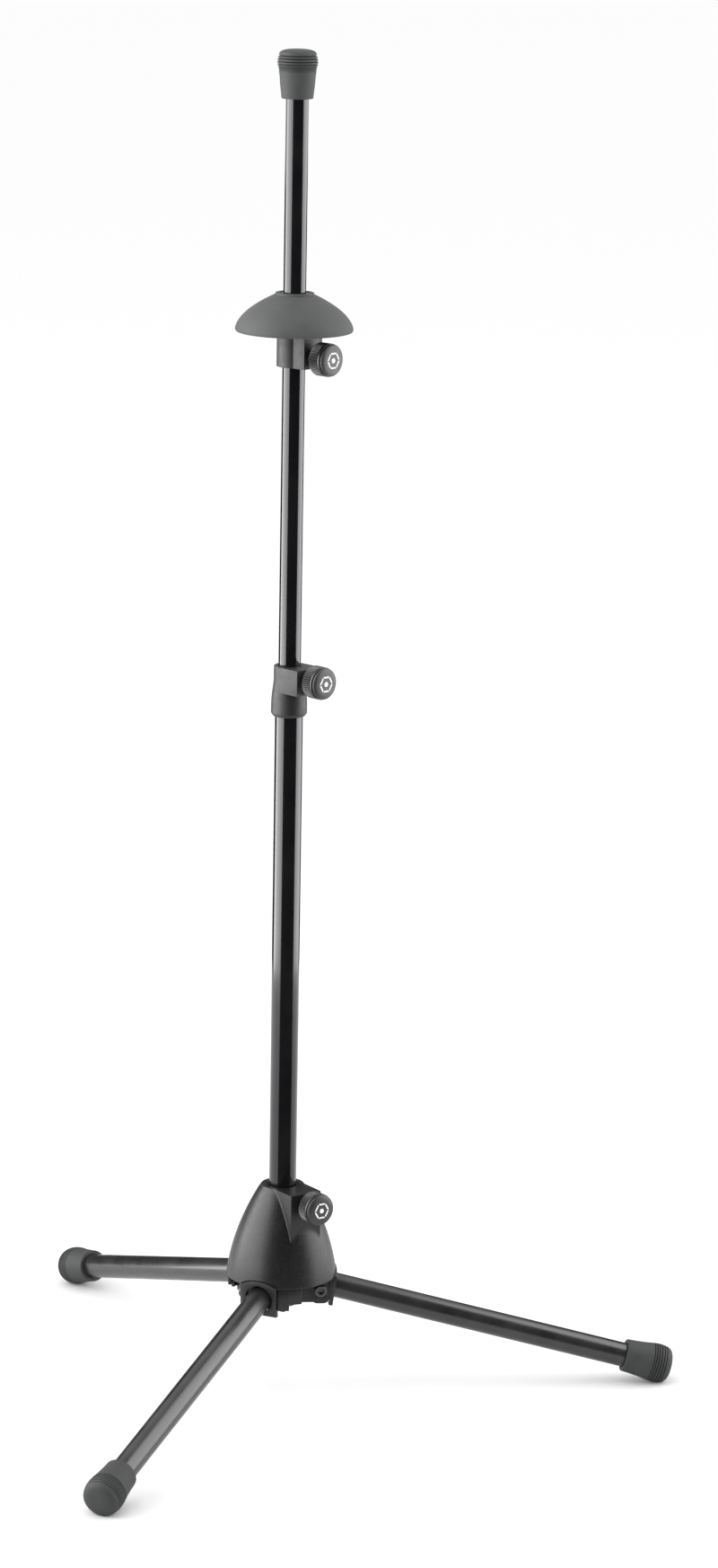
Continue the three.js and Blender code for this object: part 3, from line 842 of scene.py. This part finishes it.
def hub_shell():
    """The domed casting with its top ring and square boss."""
    middle = (HUB_TOP + HUB_RIM) / 2
    dome = bulge((TOP_R, HUB_TOP), (BULGE_R, middle), (RIM_R, HUB_RIM), 56)
    top = round_off([(11.2, HUB_TOP - 0.9, 0), (11.9, HUB_TOP, 0.6), (TOP_R - 0.1, HUB_TOP, 0.9),
                     (TOP_R + 0.5, HUB_TOP - 1.6, 0)])
    foot = round_off([dome[-2] + (0,), (RIM_R, HUB_RIM, 0.5), (RIM_R - 2.9, HUB_RIM, 0.4),
                      (RIM_R - 3.1, HUB_RIM + 2, 0)])
    outside = top + dome[2:-2] + foot
    bore = LOWER_R + 0.3
    inside = bulge((RIM_R - 3, HUB_RIM + 2.5), (BULGE_R - 3, middle), (20, SLEEVE_TOP), 20)
    inside += [(SLEEVE_R, SLEEVE_TOP), (SLEEVE_R, SLEEVE_FOOT), (bore, SLEEVE_FOOT)]
    shell = bossed("hub_shell", outside, inside, bore, BOSS_HALF, CLAMP_REACH["hub"])
    for leg_turn in LEG_TURNS.values():
        window = slab("window", arch(14.4, 60, 90.4, 94.5), PLATE_IN - 2, 50, "x", leg_turn, LEAN)
        pocket = block("pocket", (15.5, -EAR_IN, 60), (35.9, EAR_IN, 93.6), leg_turn)
        cut(shell, window, pocket)
    cut(shell, screw_hole("hub_hole", knob_height("hub"), 31, 0))
    return shell


def hub_parts(turn):
    """The channel walls with their ears, the stepped skirt panel and the post beside one leg."""
    foot = PIVOT_Z - 10
    for side, toward in (("screw", -1), ("nut", 1)):
        near, far = sorted((toward * EAR_IN, toward * EAR_OUT))
        corners = [(PIVOT_R - 6, 112, 0), (PIVOT_R - 6, foot, 4),
                   (PIVOT_R + 6, foot, 4), (PIVOT_R + 6, 98, 0)]
        ear = slab(f"ear_{side}", round_off(corners, steps=6), near, far, "y", turn)
        wall_near, wall_far = sorted((toward * (EAR_IN + 0.05), toward * (EAR_OUT - 0.8)))
        wall = block(f"wall_{side}", (7.5, wall_near, foot + 0.8), (PIVOT_R, wall_far, 104), turn)
        hole = rod("ear_hole", PIN_HOLE_R, (PIVOT_R, near - 1, PIVOT_Z), (PIVOT_R, far + 1, PIVOT_Z),
                   40, turn)
        yield soften(cut(weld(ear, wall), hole), 0.35)
    edge, step, end = math.asin(14.5 / SKIRT_OUT), math.radians(34), math.radians(48)
    post = math.asin(EAR_OUT / SKIRT_OUT)
    yield skirt_piece("skirt_panel", edge, step, 72.4, turn)
    yield skirt_piece("skirt_wing", step - 0.02, end, 77, turn)
    yield skirt_piece("skirt_post", -post, -edge, 71.6, turn, LEAN)


def skirt_piece(name, start, end, foot, turn, move=None):
    """A curved upright panel under the dome's rim."""
    steps = max(3, int(math.degrees(abs(end - start)) / 2))
    turns = [start + (end - start) * k / steps for k in range(steps + 1)]
    outline = [(SKIRT_OUT * math.cos(t), SKIRT_OUT * math.sin(t)) for t in turns]
    outline += [(SKIRT_IN * math.cos(t), SKIRT_IN * math.sin(t)) for t in reversed(turns)]
    return soften(slab(name, outline, foot, HUB_RIM + 2, "z", turn, move), 0.3)


def join(name, pieces):
    """Several closed meshes as one object."""
    bm = bmesh.new()
    for piece in pieces:
        bm.from_mesh(piece.data)
    mesh = bpy.data.meshes.new(name)
    bm.to_mesh(mesh)
    bm.free()
    for piece in pieces:
        bpy.data.objects.remove(piece)
    joined = bpy.data.objects.new(name, mesh)
    bpy.context.scene.collection.objects.link(joined)
    return joined


done(hub_shell(), "base", CAST, ["hub_casting"])
for leg, leg_turn in LEG_TURNS.items():
    done(join(f"hub_{leg}_ears", list(hub_parts(leg_turn))), "base", CAST)


# ---------------------------------------------------------------- legs

def leg_place():
    """From a leg drawn along +Z to its resting place, pointing along +X from the pole."""
    lean = Matrix.Rotation(math.radians(90 + LEG_TILT), 4, "Y")
    return Matrix.Translation((PIVOT_R, 0, PIVOT_Z)) @ lean @ Matrix.Translation((-LEG_RISE, 0, 0))


def leg_line(start, end, lift=0):
    """Two points along a leg, at these distances from the pivot and this far above the leg's axis."""
    place = leg_place() @ Matrix.Translation((-lift, 0, 0))
    return tuple(place @ Vector((0, 0, start))), tuple(place @ Vector((0, 0, end)))


def leg_tube(side, turn):
    """The steel tube, with a cross hole for its pivot screw."""
    end = FOOT_START + 27.95
    bore = LEG_R - LEG_WALL
    profile = round_off([(LEG_R, LEG_START, 0.3), (LEG_R, end, 0.3),
                         (bore, end, 0.2), (bore, LEG_START, 0.2)],
                        closed=True)
    tube = turned(f"leg_{side}_tube_skin", profile, FACETS, closed=True, turn=turn, move=leg_place())
    pin = rod("pin", PIN_HOLE_R, (PIVOT_R, -20, PIVOT_Z), (PIVOT_R, 20, PIVOT_Z), 32, turn)
    done(cut(tube, pin), f"leg_{side}", LEG, [f"leg_{side}_tube"])


def leg_foot(side, turn):
    """The ribbed rubber foot, flattened where it stands."""
    start, end = FOOT_START, FOOT_START + 35.8
    sleeve = round_off([(9.15, start + 1, 0), (9.15, start, 0.3), (12.0, start, 0.7), (12.3, start + 6, 3),
                        (13.2, start + 15.5, 4), (13.75, start + 19, 0)])
    rings = [(13.95, start + 20.3, 0.9), (14.15, start + 22.0, 1.1), (14.3, start + 23.8, 1.2),
             (14.3, start + 25.8, 1.2), (14.1, start + 27.8, 1.2), (13.7, start + 29.7, 1.0)]
    ribs = []
    for r, along, depth in rings:
        ribs += [(r, along - 0.45), (r - depth * 0.75, along - 0.22), (r - depth, along),
                 (r - depth * 0.75, along + 0.22), (r, along + 0.45)]
    nose = bulge((13.4, start + 31), (12.5, end - 0.4), (5.3, end), 10)
    profile = sleeve + ribs + nose + [(0, end), (0, start + 28.2), (9.15, start + 28.2)]
    bm = bmesh.new()
    skin(bm, [circle(max(r, TINY), along, FINE_FACETS) for r, along in profile], closed=True)
    bm.transform(leg_place())
    for vert in bm.verts:
        vert.co.z = max(vert.co.z, 0)
    piece = to_object(f"leg_{side}_foot_rubber", bm, turn)
    done(piece, f"leg_{side}", FOOT, [f"leg_{side}_foot"])


def leg_socket(side, turn):
    """The arched plate with its round mouth, and the two cheeks that hold the tube behind it."""
    outline = arch(13.9, 67.4, 89.8, 93.9)
    plate = slab(f"leg_{side}_socket_body", outline, PLATE_IN, PLATE_OUT, "x", turn, LEAN)
    cut(plate, rod("mouth", 10.4, *leg_line(4, 24, lift=0.7), 72, turn))
    soften(plate, 0.4)
    eye = rod("eye", 8.4, (PIVOT_R, -13.9, PIVOT_Z), (PIVOT_R, 13.9, PIVOT_Z), 64, turn)
    cheeks = block("cheeks", (PIVOT_R, -13.8, PIVOT_Z - 8.4), (37.2, 13.8, PIVOT_Z + 8.4), turn, LEAN)
    weld(eye, cheeks)
    cut(eye, rod("bore", 9.15, *leg_line(-20, 24), 72, turn))
    cut(eye, rod("pin", PIN_HOLE_R, (PIVOT_R, -15, PIVOT_Z), (PIVOT_R, 15, PIVOT_Z), 32, turn))
    done(join(f"leg_{side}_socket_skin", [plate, soften(eye, 0.3)]), f"leg_{side}", SOCKET,
         [f"leg_{side}_socket"])


def pivot_screw(side, turn):
    """A cap screw with a hexagon socket, its shank and the nut on its far end."""
    seat, head = EAR_OUT + 0.1, EAR_OUT + 2.55
    profile = round_off([(TINY, seat, 0), (4.4, seat, 0.2), (4.4, head, 0.7), (2.7, head, 0.15),
                         (2.5, head - 0.25, 0), (TINY, head - 0.25, 0)])
    to_side = Matrix.Translation((PIVOT_R, 0, PIVOT_Z)) @ Matrix.Rotation(math.radians(90), 4, "X")
    screw = turned(f"leg_{side}_pivot_head", profile, 64, closed=True, turn=turn, move=to_side)
    key = rod("key", 2.35, (PIVOT_R, -head - 1, PIVOT_Z), (PIVOT_R, -head + 2.1, PIVOT_Z), 6, turn)
    cut(screw, key)
    shank = rod("shank", 2.9, (PIVOT_R, -seat - 0.1, PIVOT_Z), (PIVOT_R, EAR_OUT + 2.15, PIVOT_Z), 40, turn)
    done(join(f"leg_{side}_pivot_screw_skin", [screw, soften(shank, 0.2)]), "base", STEEL,
         [f"leg_{side}_pivot_screw"])
    nut = rod(f"leg_{side}_pivot_nut_skin", 4.35, (PIVOT_R, EAR_OUT + 0.25, PIVOT_Z),
              (PIVOT_R, EAR_OUT + 2.1, PIVOT_Z), 6, turn)
    cut(nut, rod("thread", 3.0, (PIVOT_R, EAR_OUT - 1, PIVOT_Z), (PIVOT_R, EAR_OUT + 3, PIVOT_Z), 40, turn))
    done(soften(nut, 0.3), "base", STEEL, [f"leg_{side}_pivot_nut"])


for leg, leg_turn in LEG_TURNS.items():
    leg_tube(leg, leg_turn)
    leg_foot(leg, leg_turn)
    leg_socket(leg, leg_turn)
    pivot_screw(leg, leg_turn)


# ---------------------------------------------------------------- end stop and carried-over nodes

def end_stop():
    """The cup on the lower tube's end, which sits just under the hub's sleeve."""
    low, high = span("lower_end_stop")
    foot, top = low.z, high.z
    cup = round_off([(TINY, foot, 0), (12.6, foot, 1.2), (12.6, top, 0.4), (10.15, top, 0.2),
                     (10.15, foot + 2.3, 0), (TINY, foot + 2.3, 0)])
    stop = turned("lower_end_stop_skin", cup, closed=True)
    done(stop, "pole", CLAMP, ["lower_end_stop"])


end_stop()


def carry_over():
    """Inner CAD nodes keep their shape and get their materials."""
    finishes = {"clamp_screw": STEEL, "clamp_pad": NYLON, "bush": NYLON, "guide": NYLON, "liner": NYLON}
    for name, node in frame["nodes"].items():
        for ending, material in finishes.items():
            if name.endswith(ending):
                node.data.materials.clear()
                node.data.materials.append(material)
                node.data.shade_smooth()
                node.data.set_sharp_from_angle(angle=math.radians(30))


carry_over()
